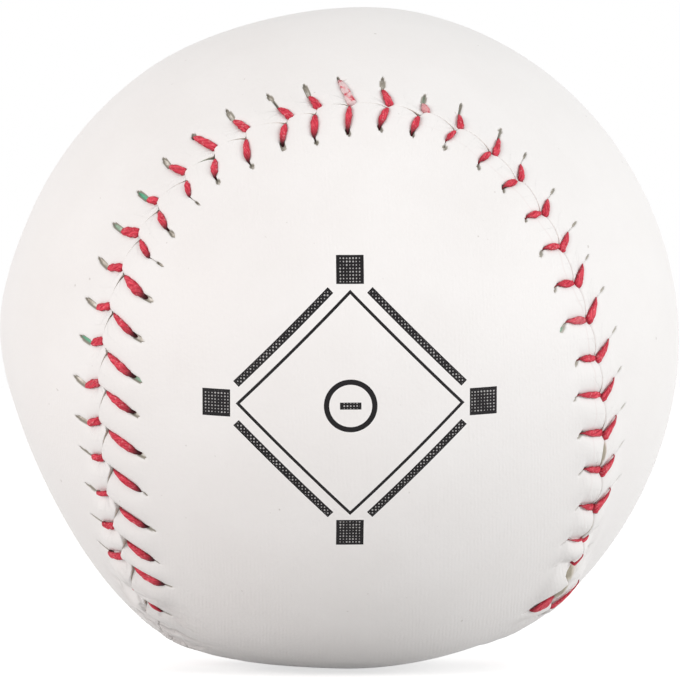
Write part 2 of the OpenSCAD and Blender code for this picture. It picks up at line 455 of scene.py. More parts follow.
def slit_share(side, place, d):
    """Share of a slit's depth, and the share by which it stands open. The slit is a lens from inside the
    leg's end to the slit's end, deepest on its middle line. A shut slit is a thin line that opens only
    past its middle, by a smooth step."""
    off = (place - np.round(place)) * PITCH
    start = lie(side, "leg", place) - SLIT_OVERLAP
    along = np.clip((d - start) / (lie(side, "slit_end", place) - start), 0, 1)
    ease = np.clip((along - SLIT_OPENS) / SLIT_OPEN_L, 0, 1)
    shut = lie(side, "shut", place) * (1 - ease * ease * (3 - 2 * ease))
    width = (1 - shut) * lie(side, "slit_w", place) + shut * SLIT_SHUT_W
    lens = 1 - np.abs(2 * along - 1) ** SLIT_BLUNT[side]
    half = width / 2 * lens * (1 - lie(side, "sunk", place).clip(0, 1))
    bed = np.clip(1 - (off / np.maximum(half, SLIT_LEAST)) ** 2, 0, 1) ** 0.5
    depth = np.where(half > SLIT_LEAST, bed, 0)
    return depth * np.minimum(SLIT_CLOSE * lens, 1), 1 - shut


def ridge(d):
    """Rise of both panels towards the seam."""
    return RIDGE_H * np.exp(-(d / RIDGE_W) ** 2)


def relief(side, place, d):
    """Height of a panel over the ball's form: a ridge along the seam, a puff between neighbouring stitches,
    a groove under each leg and a slit past it. Puff and groove end at the leg's end by a smooth step."""
    off = (place - np.round(place)) * PITCH
    past_leg = d - lie(side, "leg", place)
    swell = (0.5 - 0.5 * np.cos(FULL * place)) ** PUFF_POWER
    puff = (PUFF_H + PUFF_GAIN * tightness(place) * (1 - lie(side, "flat", place))) * swell
    puff = puff * 0.5 * (1 - np.tanh((past_leg - PUFF_PAST) / PUFF_FADE))
    groove = GROOVE_H * np.exp(-(off / GROOVE_W) ** 2) * 0.5 * (1 - np.tanh(past_leg / GROOVE_FADE))
    groove = groove * (1 - lie(side, "sunk", place)) * (1 - lie(side, "thin", place).clip(0, 1))
    return ridge(d) + puff - groove - SLIT_H * slit_share(side, place, d)[0]


def folds(side, place, d, out):
    """Height of the soft folds where leather lies over the stitches: waves of the way back through the
    ball, which wander with the height and fade with the distance from the seam."""
    _, y, z = np.moveaxis(BALL_R * out, -1, 0)
    wave = np.sin(FULL * (y / FOLD_L + FOLD_SWAY * np.sin(z / FOLD_SWAY_L)))
    wave = wave * (1 - FOLD_CHANGE + FOLD_CHANGE * np.sin(z))
    return lie(side, "fold", place) * wave * np.exp(-(d / FOLD_W) ** 2)


def spine(side, a):
    """Middle line of a panel, from lobe to lobe over its waist, before the seam is turned."""
    if side == FRONT:
        bend = SPINE_REACH * np.cos(a)
        return np.stack([0 * a, -np.sin(bend), -np.cos(bend)], -1)
    bend = SPINE_REACH * np.sin(a)
    return np.stack([np.sin(bend), 0 * a, np.cos(bend)], -1)


def between(a, b, share):
    """Directions at each share of the way from directions a to directions b."""
    return unit((1 - share) * a + share * b)


def panel_columns(per_stitch, bunch):
    """Places of a panel's columns in stitches, drawn together at each stitch by a sine of the place."""
    even = np.arange(STITCHES * per_stitch) / per_stitch - STITCHES / 2
    return even - bunch * np.sin(FULL * even) / FULL


def welded(rows, cols, side):
    """Vertex numbers of a panel's grid. Columns of its first and last row meet in pairs on the spine."""
    ids = np.arange(rows * cols).reshape(rows, cols)
    j = np.arange(cols)
    mate = np.mod((0 if side == FRONT else cols // 2) - j, cols)
    for row in (0, rows - 1):
        ids[row] = ids[row, np.minimum(j, mate)]
    return ids


def grid_quads(ids):
    """Quads of a grid of vertex numbers whose columns run round and meet."""
    nxt = np.roll(ids, -1, axis=1)
    return np.stack([ids[:-1], nxt[:-1], nxt[1:], ids[1:]], -1).reshape(-1, 4)


def placed(name, data):
    """New object in the scene."""
    made = bpy.data.objects.new(name, data)
    bpy.context.scene.collection.objects.link(made)
    return made


def plain(array, kind=np.float32):
    """Plain run of an array's numbers."""
    return array.astype(kind).ravel()


# Kind and field of a mesh attribute, by how many numbers it has at each point
FIELDS = {1: ("FLOAT", "value"), 3: ("FLOAT_VECTOR", "vector"), 4: ("FLOAT_COLOR", "color")}


def new_piece(name, points, faces, material, uv=None, **values):
    """Mesh piece from points in mm. Its faces are turned outwards by the sign of the volume they close."""
    used, faces = np.unique(faces, return_inverse=True)
    faces = faces.reshape(-1, 4)
    points = points.reshape(-1, 3)[used]
    a, b, c, d = (points[faces[:, i]] for i in range(4))
    if np.sum(a * np.cross(b, c)) + np.sum(a * np.cross(c, d)) < 0:
        faces = faces[:, ::-1]
    mesh = bpy.data.meshes.new(name)
    mesh.vertices.add(len(points))
    mesh.vertices.foreach_set("co", plain(points * MM))
    mesh.loops.add(faces.size)
    mesh.loops.foreach_set("vertex_index", plain(faces, np.int32))
    mesh.polygons.add(len(faces))
    mesh.polygons.foreach_set("loop_start", np.arange(0, faces.size, 4, dtype=np.int32))
    mesh.polygons.foreach_set("use_smooth", np.ones(len(faces), bool))
    mesh.update(calc_edges=True)
    mesh.validate()
    for key, array in values.items():
        kind, field = FIELDS[array.shape[-1]]
        held = mesh.attributes.new(key, kind, "POINT")
        held.data.foreach_set(field, plain(array.reshape(-1, array.shape[-1])[used]))
    if uv is not None:
        layer = mesh.uv_layers.new(name="weave")
        layer.data.foreach_set("uv", plain(uv.reshape(-1, 2)[used][faces.ravel()]))
    mesh.materials.append(material)
    return placed(name, mesh)


def fit(piece, node):
    """Seats a piece on the ball's one body, in place of its CAD node."""
    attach(piece, "root")
    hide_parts(node)


def weave_uv(side, out):
    """Flat coordinates of a panel in mm: across its spine plane and along the spine."""
    x, y, z = out[..., 0], out[..., 1], out[..., 2]
    if side == BACK:
        x, y, z = y, x, -z
    return BALL_R * np.stack([np.arcsin(np.clip(x, -1, 1)), np.arctan2(-y, -z)], -1)


def bare_edge(at, drop_share, flank, tight):
    """Share by which the leather's cut edge shows on the lip, by the share of the lip's drop. It pales past
    a back tip where the lacing is loose or on the right flanks, and from a front tip to its back tip."""
    _, share, onward = sewn_step(at)
    bare = EDGE_BARE + (1 - EDGE_BARE) * EDGE_TIGHT * tight
    pale = np.maximum(EDGE_PALE * flank, EDGE_LOOSE * (1 - tight)) * np.where(onward, 1 - share, 0)
    pale = np.maximum(pale, EDGE_HID * ~onward)
    return np.clip((drop_share - bare) / (1 - bare), 0, 1) * (1 - pale)


def cover_panel(name, side, material):
    """Closed panel of leather. Each column of its grid runs from the spine under the panel to the edge,
    round a quarter-round lip and over the top back to the spine. Its height over the ball's form is the
    relief and the folds. Two attributes hold what the leather shows: sewing has the shares of slit, bare
    edge, green tint and painted shade in the hole at a leg's end, and seam has the place in stitches, the
    distance from the seam and the dye, which is less than nothing where the leather is crumpled."""
    place = panel_columns(COLUMNS, BUNCH)
    cols = len(place)
    flank, tight = right_flank(place), tightness(place)
    lip = LIP_R + LIP_SIDE * flank + LIP_GAIN * tight
    lip_h = lip * (1 - LIP_FLAT * flank * (1 - tight))
    at = sewn_place(side, place)
    lens = lens_width(at) * (side == BACK)
    lip = lip + lens
    quarter = np.linspace(0, np.pi / 2, LIP_ROWS)[:, None]
    over = np.linspace(0, 1, TOP_ROWS + 1)[1:, None]
    reach = np.concatenate([lip * (1 - np.cos(quarter)), lip + (REACH - lip) * over ** ROW_SPREAD])
    drop = np.concatenate([lip_h * (1 - np.sin(quarter)), 0 * over * lip])
    places = np.broadcast_to(place, reach.shape)
    d = from_seam(side, places, reach)
    top = way_out(side, places, d)
    lift = relief(side, places, d) + folds(side, places, d, top @ TURN.T) - drop
    slit, opened = slit_share(side, places, d)
    slit = slit * (1 - SLIT_PALE * (1 - opened)) * (1 - SLIT_PALE * flank * tight)
    edge = bare_edge(at, drop / lip_h, flank, tight)
    edge = np.maximum(edge, LENS_FLOOR * np.clip(LENS_STEEP * (lens - reach), 0, 1))

    tuck = np.linspace(1, 0, UNDER_ROWS)[:, None] * REACH
    under_places = np.broadcast_to(place, (UNDER_ROWS, cols))
    under = way_out(side, under_places, from_seam(side, under_places, tuck))
    middle = spine(side, FULL * np.arange(cols) / cols - np.pi)
    inner = np.linspace(0, 1, INNER_ROWS + 1)[1:, None, None]
    under_inner = np.linspace(1, 0, UNDER_INNER_ROWS + 1)[:-1, None, None]
    out = np.concatenate([
        between(under[0], middle, under_inner), under, top, between(top[-1], middle, inner)])
    hidden = UNDER_INNER_ROWS + UNDER_ROWS
    turned = out @ TURN.T
    form = ball_form(turned)
    r = form.copy()
    r[:hidden] -= COVER_SHARE * (form[:hidden] - COAT_R)
    r[hidden:-INNER_ROWS] += lift
    r[-INNER_ROWS:] += lift[-1] * (1 - inner[..., 0])

    def on_grid(array, under_value):
        """Values of the top's rows, carried to the whole grid."""
        return np.concatenate([
            np.full((hidden, cols), under_value), array, np.zeros((INNER_ROWS, cols))])

    nearest = np.round(places).astype(int) % STITCHES
    green = LIES[side]["green"][nearest]
    # Painted shade in the hole at each leg's end: near black there, less on the right flanks
    dark = slit * np.exp(-((d - lie(side, "leg", places)) / HOLE_SHADE_L) ** 2)
    dark = dark * (1 - SLIT_PALE * flank)
    sewing = np.stack([on_grid(slit, 0), on_grid(edge, 1), on_grid(green, 0), on_grid(dark, 0)], -1)
    far = np.concatenate([np.full((hidden, cols), REACH), d, d[-1] + SPINE_FAR * REACH * inner[..., 0]])
    crumple = np.minimum(CRUMPLE * lie(side, "fold", place), 1) * np.exp(-(far / FOLD_W) ** 2)
    dye = flank * (1 - tight) - crumple
    seam_place = np.stack(np.broadcast_arrays(place, far, dye), -1)
    ids = welded(*far.shape, side)
    return new_piece(name, turned * r[..., None], grid_quads(ids), material, weave_uv(side, out),
                     sewing=sewing, seam=seam_place)


def lining(name, side, material):
    """Thin cloth between the cement coat and a panel, set back from the seam. Each column of its grid runs
    from the spine over the top to the edge and back underneath."""
    place = panel_columns(LINING_COLUMNS, 0)
    cols = len(place)
    d = np.full((1, cols), LINING_EDGE)
    rim = way_out(side, np.broadcast_to(place, d.shape), d)
    middle = spine(side, FULL * np.arange(cols) / cols - np.pi)
    share = np.linspace(1, 0, LINING_ROWS)[:, None, None]
    out = between(rim, middle, np.concatenate([share, share[::-1]]))
    turned = out @ TURN.T
    room = (1 - COVER_SHARE) * (ball_form(turned) - COAT_R)
    r = COAT_R + room * np.repeat(LINING_LEVELS, LINING_ROWS)[:, None]
    ids = welded(*r.shape, side)
    return new_piece(name, turned * r[..., None], grid_quads(ids), material, weave_uv(side, out))


# One stitch of the lacing from its hole to the seam and down: the share of the way from the hole (0) to
# the panel's edge (1), the height over the ridge, the half width of the thread at each seam angle of
# LACE_AT, its half height and its share of painted shade where it goes into the leather. A height below
# UNDER_COVER is under the cover
UNDER_COVER = -0.5
LACE_AT = np.radians([-30, 30, 55])
LACE_STEPS = {
    FRONT: ((-0.12, -1.75, 0.36, 0.36, 0.36, 0.34, 1.0), (-0.10, -0.80, 0.14, 0.10, 0.06, 0.20, 1.0),
            (-0.03, -0.24, 0.17, 0.08, 0.06, 0.18, 1.0), (0.05, -0.08, 0.25, 0.13, 0.10, 0.20, 0.85),
            (0.16, 0.00, 0.35, 0.25, 0.20, 0.21, 0.4), (0.42, 0.06, 0.43, 0.42, 0.34, 0.22, 0.08),
            (0.68, 0.05, 0.38, 0.38, 0.41, 0.22, 0.0), (0.88, -0.02, 0.21, 0.23, 0.42, 0.22, 0.15),
            (0.98, -0.16, 0.08, 0.13, 0.42, 0.22, 0.55), (1.02, -1.00, 0.24, 0.24, 0.24, 0.26, 1.0),
            (1.06, -1.75, 0.34, 0.34, 0.34, 0.34, 1.0)),
    BACK: ((-0.22, -1.75, 0.36, 0.36, 0.36, 0.34, 1.0), (-0.20, -0.80, 0.12, 0.06, 0.04, 0.20, 1.0),
           (-0.04, -0.22, 0.21, 0.04, 0.03, 0.18, 0.6), (0.10, -0.04, 0.32, 0.10, 0.08, 0.19, 0.1),
           (0.28, 0.03, 0.42, 0.25, 0.20, 0.20, 0.0), (0.55, 0.07, 0.46, 0.40, 0.38, 0.22, 0.0),
           (0.88, 0.06, 0.47, 0.47, 0.57, 0.22, 0.0), (0.98, 0.03, 0.48, 0.46, 0.61, 0.22, 0.1),
           (1.02, -0.30, 0.46, 0.43, 0.50, 0.24, 0.6), (1.05, -1.00, 0.34, 0.34, 0.34, 0.28, 1.0),
           (1.10, -1.75, 0.34, 0.34, 0.34, 0.34, 1.0)),
}

# The thread: its twisted plies, how thin stitches flatten, how square it is, how much less painted shade
# its hole ends have on the right flanks, how it varies along its length and how its ends close
PLIES, PLY_H, PLY_TWIST = 3, 0.06, 1.6
TAPER_W, TAPER_LEAST = 0.25, 0.4
LACE_FLAT, END_SHADE_LESS = 0.75, 0.6
THREAD_SEED, ROUGH_MOST = 7, 2
THREAD_UNEVEN, THREAD_WAVER, THREAD_ROUGH = 0.06, 0.015, 0.045
THREAD_END = 0.02


def lace_points(side):
    """Middle line, crosswise direction, half sizes, wear and painted end shade of every stitch on one
    panel, as an array of stitches by steps by ten numbers. A height under the cover shrinks with the room
    over the coat. The outer half of a leg has less painted shade on the right flanks."""
    share, height, *widths, half_h, soil = np.array(LACE_STEPS[side]).T[:, None, :]
    place = np.broadcast_to(np.arange(STITCHES)[:, None].astype(float), (STITCHES, share.shape[1]))
    key = np.interp(np.arcsin(np.sin(seam_angle(place))), LACE_AT, np.arange(len(LACE_AT)))
    half_w = sum(np.clip(1 - np.abs(key - i), 0, 1) * width for i, width in enumerate(widths))
    half_w = half_w * (1 - LIES[side]["thin"][:, None])
    half_h = half_h * np.clip(half_w / TAPER_W, TAPER_LEAST, 1)
    leg = lie(side, "leg", place)
    edge = edge_offset(side, place)
    d = leg + (edge - leg) * share
    turned = way_out(side, place, d) @ TURN.T
    form = ball_form(turned)
    under = height < UNDER_COVER
    room = np.where(under, (form - COAT_R) / (BALL_R - COAT_R), 1)
    rise = ridge(d) + LEG_RISE[side] * tightness(place) - SINK * LIES[side]["sunk"][:, None]
    r = form + np.where(under, 0, rise) + height * room
    along = seam_line(tip_angle(side, place))[1] @ TURN.T
    worn = LIES[side]["worn"][:, None]
    # Painted shade where the thread goes into a hole or under the leather, less at the hole ends on the
    # right flanks
    soil = soil * (1 - END_SHADE_LESS * right_flank(place) * (share < 0.5))
    sizes = np.stack(np.broadcast_arrays(half_w, half_h, worn, soil), -1)
    return np.concatenate([turned * r[..., None], along, sizes], -1)


def corner_cut(line):
    """Open line of points smoothed by cutting every corner a quarter of the way along."""
    near = 0.75 * line[:-1] + 0.25 * line[1:]
    far = 0.25 * line[:-1] + 0.75 * line[1:]
    return np.concatenate([line[:1], np.stack([near, far], 1).reshape(-1, line.shape[1]), line[-1:]])


def lacing(name, run, material):
    """One unbroken thread, a squared oval carried along its path: out of a hole, over a panel to the seam,
    down it and under the other panel to the next hole. The two runs take the panels by turns."""
    odd = (np.arange(STITCHES) + run) % 2
    line = np.where(odd[:, None, None] == 0, lace_points(FRONT), lace_points(BACK)).reshape(-1, 10)
    line = corner_cut(corner_cut(line))
    middle, cross, sizes = line[:, :3], line[:, 3:6], line[:, 6:]
    ahead = unit(np.gradient(middle, axis=0))
    cross = unit(cross - np.sum(cross * ahead, -1, keepdims=True) * ahead)
    up = np.cross(ahead, cross)
    rng = np.random.default_rng(THREAD_SEED + run)
    uneven, waver = corner_cut(rng.standard_normal((len(line) // 2, 2))).T[..., None]
    uneven = 1 + THREAD_UNEVEN * np.resize(uneven, (len(line), 1))
    uneven = uneven + THREAD_ROUGH * rng.standard_normal((len(line), 1)).clip(-ROUGH_MOST, ROUGH_MOST)
    middle = middle + THREAD_WAVER * np.resize(waver, (len(line), 1)) * cross
    ends = np.ones(len(line))
    ends[[0, -1]] = THREAD_END
    a = FULL * np.arange(THREAD_SIDES) / THREAD_SIDES
    length = np.concatenate([[0], np.cumsum(np.linalg.norm(np.diff(line[:, :3], axis=0), axis=-1))])
    ply = ends[:, None] * (1 + PLY_H * np.cos(PLIES * (a + PLY_TWIST * length[:, None])))
    flat_cos, flat_sin = (np.sign(v) * np.abs(v) ** LACE_FLAT for v in (np.cos(a), np.sin(a)))
    wide = (sizes[:, :1] * uneven * ply * flat_cos)[..., None] * cross[:, None]
    high = (sizes[:, 1:2] * ply * flat_sin)[..., None] * up[:, None]
    points = middle[:, None] + wide + high
    ids = np.arange(points.shape[0] * THREAD_SIDES).reshape(-1, THREAD_SIDES)
    round_place = np.stack(np.broadcast_arrays(length[:, None], np.cos(a), np.sin(a)), -1)
    worn, soil = (np.broadcast_to(sizes[:, i, None, None], (*round_place.shape[:2], 1)) for i in (2, 3))
    half = THREAD_SIDES // 2
    low = np.arange(half - 1)
    strip = np.stack([low, low + 1, THREAD_SIDES - 2 - low, THREAD_SIDES - 1 - low], -1)
    faces = np.concatenate([grid_quads(ids), ids[0][strip[:, ::-1]], ids[-1][strip]])
    return new_piece(name, points, faces, material, lay=round_place, worn=worn, soil=soil)


class Value:
    """What an output of a shader node gives. Reckoning with it makes Math nodes."""

    def __init__(self, socket):
        self.socket = socket
        self.tree = socket.id_data

    def feed(self, socket):
        """Links this value to an input of another node."""
        self.tree.links.new(self.socket, socket)

    def math(self, operation, *terms):
        """Result of a Math node on this value and other terms."""
        return wire(self.tree, "Math", dict(enumerate((self, *terms))), operation=operation)

    __abs__ = partialmethod(math, "ABSOLUTE")
    __add__ = partialmethod(math, "ADD")
    __sub__ = partialmethod(math, "SUBTRACT")
    __mul__ = partialmethod(math, "MULTIPLY")
    __truediv__ = partialmethod(math, "DIVIDE")
    __pow__ = partialmethod(math, "POWER")
    __lt__ = partialmethod(math, "LESS_THAN")
    __gt__ = partialmethod(math, "GREATER_THAN")
    most = partialmethod(math, "MAXIMUM")


def wire(tree, kind, inputs, *keys, **settings):
    """New shader node with its settings, and its inputs from plain numbers or from other nodes' values.
    Gives back its outputs of these keys, or its first output."""
    node = tree.nodes.new("ShaderNode" + kind)
    for name, setting in settings.items():
        setattr(node, name, setting)
    for name, term in inputs.items():
        if isinstance(term, Value):
            term.feed(node.inputs[name])
        else:
            node.inputs[name].default_value = term
    values = [Value(node.outputs[key]) for key in keys or (0,)]
    return values if len(values) > 1 else values[0]


def blend(share, first, second):
    """Colour mixed from two colours by a share."""
    return wire(share.tree, "Mix", {0: share, 6: first, 7: second}, 2, data_type="RGBA")


def stretch(value, low, high, to_low=0.0, to_high=1.0):
    """Value carried from one range to another and held at its ends."""
    return wire(value.tree, "MapRange", {0: value, 1: low, 2: high, 3: to_low, 4: to_high})


def parts(vector):
    """The three parts of a vector."""
    return wire(vector.tree, "SeparateXYZ", {0: vector}, 0, 1, 2)


def joined(x, y, z):
    """Vector of three parts."""
    return wire(x.tree, "CombineXYZ", {0: x, 1: y, 2: z})


def scaled(vector, scale):
    """Vector stretched along each axis."""
    return wire(vector.tree, "Mapping", {"Vector": vector, "Scale": scale})


def rotated(vector, turn):
    """Vector turned about each axis."""
    return wire(vector.tree, "Mapping", {"Vector": vector, "Rotation": turn})


def noise(vector, scale, detail, rough=0.55):
    """Noise at a vector, by its scale, its layers of detail and the weight of the finer ones."""
    return wire(vector.tree, "TexNoise", {
        "Vector": vector, "Scale": scale, "Detail": detail, "Roughness": rough}, "Fac")


def millimetres(tree):
    """Object coordinates in millimetres."""
    return scaled(wire(tree, "TexCoord", {}, "Object"), (1000, 1000, 1000))


def attribute(tree, name, *keys):
    """Outputs of a mesh attribute."""
    return wire(tree, "Attribute", {}, *keys, attribute_name=name)


def looked_at(tree):
    """One for rays from the camera, off gloss or through glass, and nothing for the rest."""
    keys = (f"Is {kind} Ray" for kind in ("Camera", "Glossy", "Transmission"))
    camera, gloss, glass = wire(tree, "LightPath", {}, *keys)
    return camera.most(gloss).most(glass)


def group(name, **takes):
    """Empty node group with named inputs of given kinds, and the values of those inputs."""
    tree = bpy.data.node_groups.new(name, "ShaderNodeTree")
    for key, kind in takes.items():
        tree.interface.new_socket(key, in_out="INPUT", socket_type="NodeSocket" + kind)
    start = tree.nodes.new("NodeGroupInput")
    return tree, [Value(start.outputs[key]) for key in takes]


def give(tree, **results):
    """Ends a node group with its named results."""
    for key in results:
        tree.interface.new_socket(key, in_out="OUTPUT", socket_type="NodeSocketFloat")
    end = tree.nodes.new("NodeGroupOutput")
    for key, value in results.items():
        value.feed(end.inputs[key])
    return tree


def new_material(name, **constants):
    """Material with a Principled shader and its plain values, its node tree and the shader."""
    material = bpy.data.materials.new(name)
    material.use_nodes = True
    shader = material.node_tree.nodes["Principled BSDF"]
    for key, value in constants.items():
        shader.inputs[key.replace("_", " ")].default_value = value
    return material, material.node_tree, shader


def dress(tree, shader, colour, rough, height, depth):
    """Gives a shader its colour, its roughness and a bump of a depth in metres."""
    bump = wire(tree, "Bump", {"Height": height, "Strength": 1.0, "Distance": depth})
    for key, value in (("Base Color", colour), ("Roughness", rough), ("Normal", bump)):
        value.feed(shader.inputs[key])


def grain_group():
    """Fine leather grain: faint woven ribs, small pores and a soft mottle."""
    tree, (point, weave, pitch) = group("fine_grain", Point="Vector", Weave="Vector", Pitch="Float")
    wobble = noise(scaled(weave, (0.8, 0.12, 1)), 1.0, 2.0)
    turns = parts(weave)[0] / pitch + wobble * 1.2
    patch = stretch(noise(weave, 0.35, 2.0), 0.35, 0.7)
    rib = (turns * FULL).math("SINE") * patch
    pores = wire(tree, "TexVoronoi", {"Vector": point, "Scale": 2.6}, "Distance", feature="SMOOTH_F1")
    height = rib * 0.3 + pores + noise(point, 3.5, 4.0)
    return give(tree, Height=height, Mottle=noise(point, 0.09, 4.0))


def fibre_group():
    """Spun fibres: streaks that run along a thread and turn slowly round it."""
    tree, (lay, twist, streaks) = group("spun_fibres", Lay="Vector", Twist="Float", Streaks="Float")
    length, aside, up = parts(lay)
    turn = up.math("ARCTAN2", aside) + length * twist
    around = joined(length * 0.9, turn.math("SINE") * streaks, turn.math("COSINE") * streaks)
    streak = noise(around, 1.0, 4.0, 0.65)
    height = (turn * 3.0).math("SINE") * 0.25 + streak
    return give(tree, Height=height, Shade=stretch(streak, 0.36, 0.66))


def stamp_group():
    """Ink of a plain infield stamp on a flat place: a square on its corner in two lines, four bases and a
    round mound with its plate. Input is the point on that place in mm, output the share of ink. Its broad
    parts are printed through a mesh, so that they show pale pin dots."""
    tree, (spot,) = group("infield_stamp", Place="Vector")
    half_mm, inner_mm, end_mm, base_mm, mound_mm = 15.0, 12.6, 10.6, 1.55, 2.7
    line_mm, inner_line_mm, mound_line_mm, plate_mm, plate_slim = 0.62, 0.24, 0.3, 1.2, 3.0
    rim_mm, mesh_mm, dot_pale = 0.2, 0.36, 0.5
    across, deep, up = parts(spot)
    x, z = abs(across), abs(up)
    slant = x + z
    sideways = abs(x - z)
    far = (x ** 2.0 + z ** 2.0).math("SQRT")

    def off_corner(a, b):
        """Distance from a corner of the square, measured along the two axes."""
        return abs(a - half_mm).most(b)

    corner = off_corner(x, z).math("MINIMUM", off_corner(z, x))

    def broad(inset):
        """Outer lines, bases and plate, drawn in by an inset."""
        line = slant.math("COMPARE", half_mm, line_mm - inset) * (sideways < end_mm - inset)
        base = corner < base_mm - inset
        plate = x.most(z * plate_slim) < plate_mm - inset
        return line.most(base).most(plate)

    inner = slant.math("COMPARE", inner_mm, inner_line_mm)
    mound = far.math("COMPARE", mound_mm, mound_line_mm)
    one_way, other_way = ((way * (np.pi / mesh_mm)).math("COSINE") for way in (across + up, across - up))
    patch = stretch(noise(spot, 1.4, 2.0), 0.35, 0.65, 0.85, 0.35)
    dots = (one_way * other_way > patch) * broad(rim_mm)
    ink = broad(0.0).most(inner).most(mound) - dots * dot_pale
    return give(tree, Ink=ink * (deep < 0.0))


def fan_group():
    """Fine creases that fan out behind every stitch's tip. Inputs are the place along the seam in stitches
    and the distance from it in mm; the creases are ridges of a noise of the angle about the nearest tip."""
    tree, (place, away) = group("crease_fan", Place="Float", Away="Float")
    number = place.math("ROUND")
    beside = (place - number) * PITCH
    angle = beside.math("ARCTAN2", away)
    far = beside ** 2.0 + away ** 2.0
    swing = noise(joined(angle * 2.0, number * 7.3, far * 0.04), 1.0, 2.0) - 0.5
    fade = (far * -0.09).math("EXPONENT")
    behind = stretch(angle, -0.5, -1.1)
    return give(tree, Crease=stretch(abs(swing), 0.0, 0.12) * fade * behind)


GRAIN = grain_group()
FAN = fan_group()
FIBRES = fibre_group()
STAMP = stamp_group()


# Colours of the leather, and of what shows at its cut edges and in its slits. The colours for the pinched
# line, the crumple folds, the slits' rims and the holes are painted shade
LEATHER_LOW, LEATHER_HIGH = (0.872, 0.858, 0.842, 1), (0.905, 0.895, 0.882, 1)
SPECK, INK = (0.35, 0.31, 0.27, 1), (0.008, 0.007, 0.008, 1)
PINCH_SHADE, FOLD_SHADE = (0.70, 0.57, 0.55, 1), (0.62, 0.54, 0.52, 1)
EDGE, EDGE_DYED = (0.66, 0.61, 0.52, 1), (0.80, 0.66, 0.63, 1)
EDGE_SHADED, EDGE_GREEN = (0.43, 0.39, 0.31, 1), (0.30, 0.75, 0.55, 1)
PIT_LOW, PIT_HIGH, PIT_GREEN = (0.55, 0.51, 0.44, 1), (0.85, 0.82, 0.76, 1), (0.16, 0.50, 0.33, 1)
RIM_SHADE, RIM_SHADE_DYED = (0.33, 0.31, 0.26, 1), (0.62, 0.60, 0.54, 1)
HOLE_SHADE = (0.03, 0.012, 0.012, 1)

# Turn of the stamp to the middle of the front panel
STAMP_TURN = (np.radians(-9.7), 0, np.radians(-1.7))


def printed(point, away, dye, colour):
    """Leather colour with the ink of the stamp, and a wandering pink line of painted crease shade where the
    dyed leather is pinched beside the seam."""
    ink = wire(point.tree, "Group", {"Place": rotated(point, STAMP_TURN)}, node_tree=STAMP)
    colour = blend(ink, colour, INK)
    drift = noise(point, 0.25, 1.0).math("MULTIPLY_ADD", 1.6, 0.8)
    # Painted shade of the pinched crease: a pink-grey line at a wandering distance from the seam
    pinch_shade = stretch(abs(away - drift), 0.16, 0.02) * dye
    return blend(pinch_shade * 0.22, colour, PINCH_SHADE)


def edge_colour(edge, green, dye):
    """Colour of a cut edge: buff, pink where dyed, shaded on a lens's floor, and green where the tint of a
    stitch is less than nothing."""
    raw = blend(dye, EDGE, EDGE_DYED)
    raw = blend(stretch(edge, 1.0, LENS_FLOOR), raw, EDGE_SHADED)
    return blend(stretch(green, 0.0, -1.0), raw, EDGE_GREEN)


def slit_colour(point, slit, green, hole, dye):
    """Colour in a slit: patchy backing with its green tint, a rim darkened with painted shade and painted
    shade in the hole at the leg.
    """
    patch = stretch(noise(point, 1.6, 2.0), 0.4, 0.6)
    pit = blend(patch, PIT_LOW, PIT_HIGH)
    pit = blend(stretch(green, 0.0, 1.0), pit, PIT_GREEN)
    # Painted shade on the slit's rim where its walls fall away, paler where the dye share is high
    pit = blend(stretch(slit, 0.55, 0.85), blend(dye, RIM_SHADE, RIM_SHADE_DYED), pit)
    # Painted shade in the hole at the leg, near black
    return blend(hole, pit, HOLE_SHADE)


def leather(name, stamped):
    """White synthetic leather: satin, faintly ribbed, creased at the seam, crumpled where the dye is less
    than nothing, and grey in its slits and at its cut edges. Painted shade darkens its crumple folds, a
    pinched line beside the seam, its slits' rims and the holes at the legs."""
    material, tree, shader = new_material(name, Roughness=0.42, Specular_IOR_Level=0.2)
    point = millimetres(tree)
    weave = wire(tree, "UVMap", {}, uv_map="weave")
    grain, mottle = wire(tree, "Group", {"Point": point, "Weave": weave, "Pitch": 0.46},
                         "Height", "Mottle", node_tree=GRAIN)
    sewing, hole = attribute(tree, "sewing", "Color", "Alpha")
    slit, edge, green = wire(tree, "SeparateColor", {0: sewing}, 0, 1, 2)
    place, away, dyed = parts(attribute(tree, "seam", "Vector"))
    dye = stretch(dyed, 0.0, 1.0)
    crumple = stretch(dyed, 0.0, -1.0)
    swing = noise(scaled(point, (0.16, 0.3, 0.16)), 1.0, 3.0) - 0.5
    fold_line = stretch(abs(swing), 0.1, 0.0) * crumple

    colour = blend(stretch(mottle, 0.3, 0.75), LEATHER_LOW, LEATHER_HIGH)
    specks = stretch(noise(point, 1.1, 1.0), 0.79, 0.83)
    colour = blend(specks * 0.35, colour, SPECK)
    if stamped:
        colour = printed(point, away, dye, colour)
    # Painted shade along the crumple folds
    colour = blend(fold_line * 0.3, colour, FOLD_SHADE)
    colour = blend(stretch(edge, 0.0, 1.0), colour, edge_colour(edge, green, dye))
    colour = blend(stretch(slit, 0.04, 0.3), colour, slit_colour(point, slit, green, hole, dye))

    crease = wire(tree, "Group", {"Place": place, "Away": away}, node_tree=FAN)
    height = grain + crease * 3.5 - fold_line * 16.0
    dress(tree, shader, colour, stretch(mottle, 0.3, 0.7, 0.38, 0.5), height, depth=0.000018)
    return material


# Colours of the thread: its fibres, painted shade on its sides, loose fluff with painted glints, worn
# stitches and painted shade at its ends where it goes into the leather
FIBRE_LOW, FIBRE_HIGH = (0.40, 0.009, 0.026, 1), (0.93, 0.085, 0.13, 1)
SHADED, FLUFF_AND_GLINT = (0.20, 0.004, 0.014, 1), (0.95, 0.42, 0.44, 1)
WORN, END_SHADE_COLOUR = (0.82, 0.62, 0.62, 1), (0.06, 0.007, 0.011, 1)


